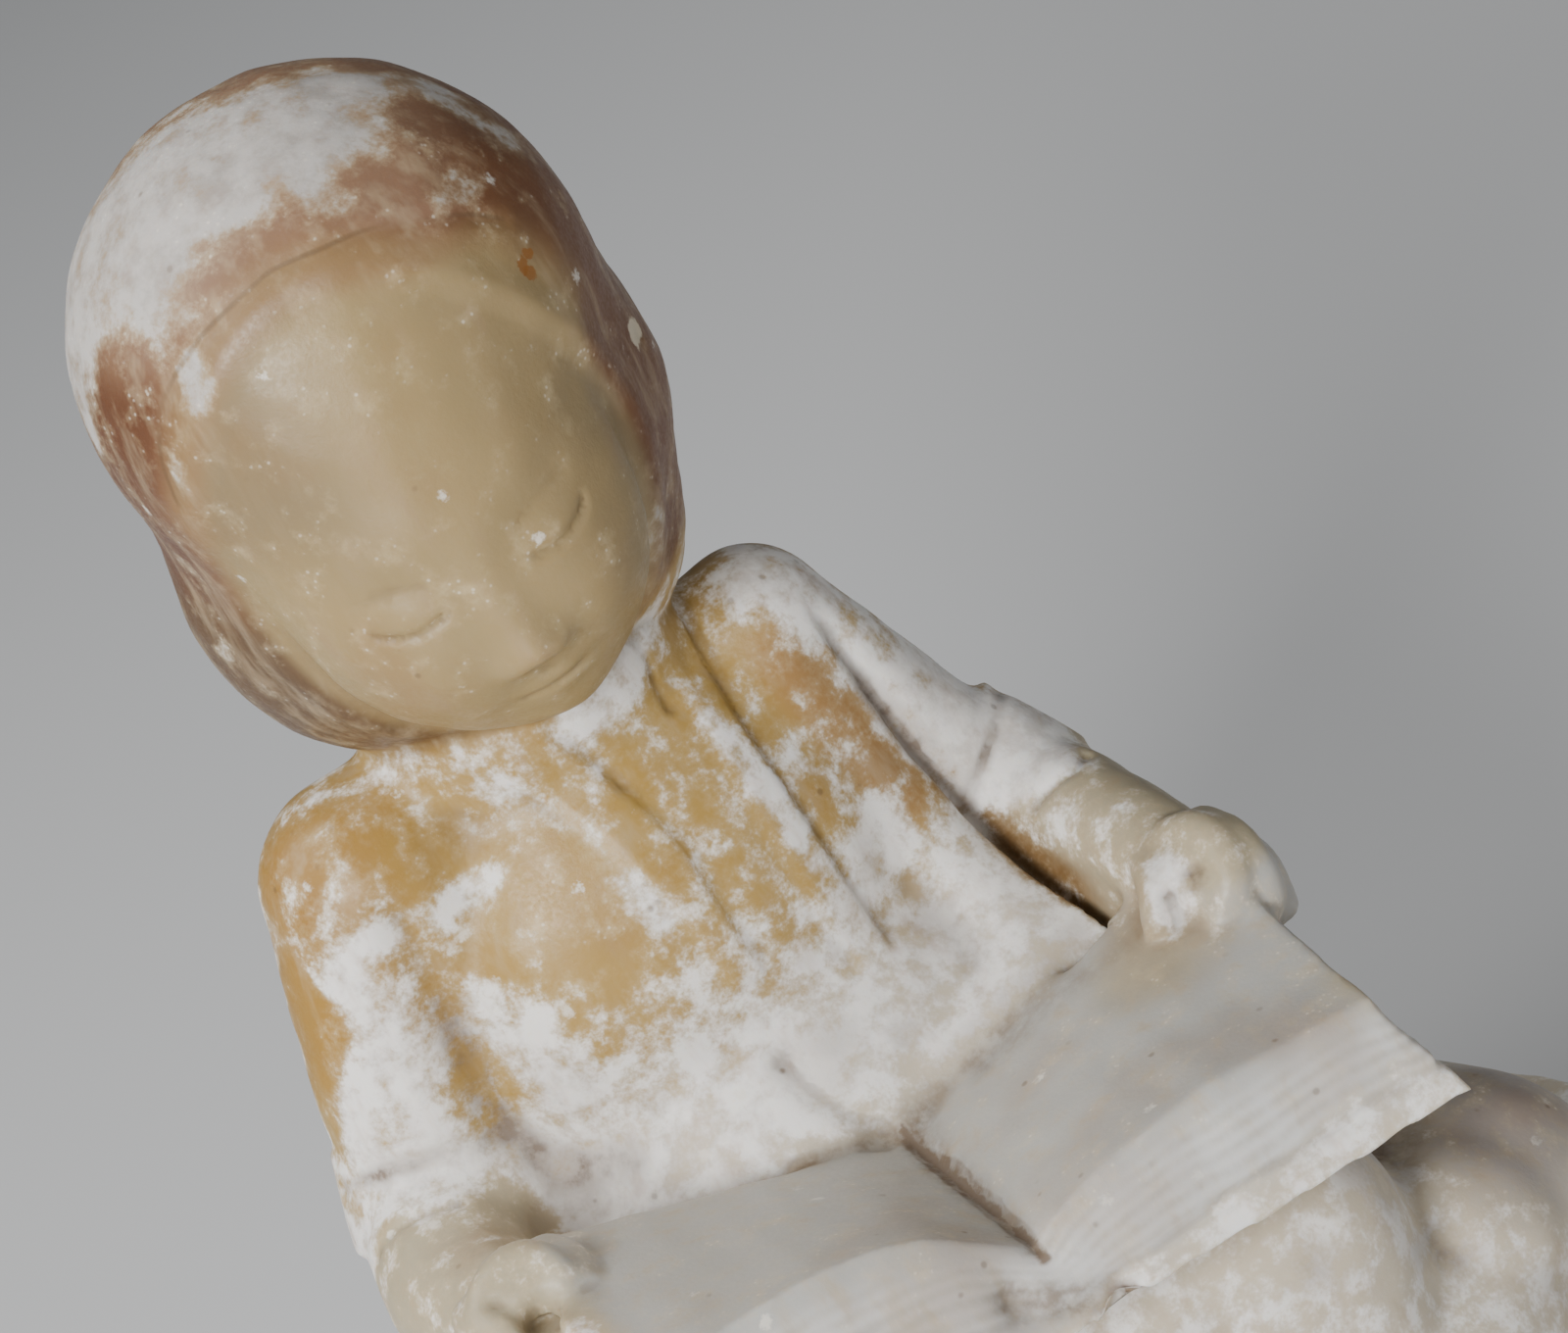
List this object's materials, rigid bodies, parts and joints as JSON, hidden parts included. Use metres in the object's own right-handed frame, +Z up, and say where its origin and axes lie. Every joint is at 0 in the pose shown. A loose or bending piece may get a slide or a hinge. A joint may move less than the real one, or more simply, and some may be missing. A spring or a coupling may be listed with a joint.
{
  "type": "carved stone statuette",
  "caption": "Small carved stone statuette of a seated child in a hood, head bowed over an open book on the lap, on a low oval plinth; stands free on its flat underside",
  "frame": {"origin": "centre of the plinth's flat underside", "axes": "+Z up, the child faces -Y, +X is the child's left"},
  "size_m": [0.116, 0.096, 0.1461],
  "materials": {
    "alabaster": "honey-coloured translucent alabaster, rubbed smooth, with a chalky white bloom and brown dirt in the hollows"
  },
  "bodies": {
    "root": {"reading_child": "alabaster"}
  },
  "joints": []
}
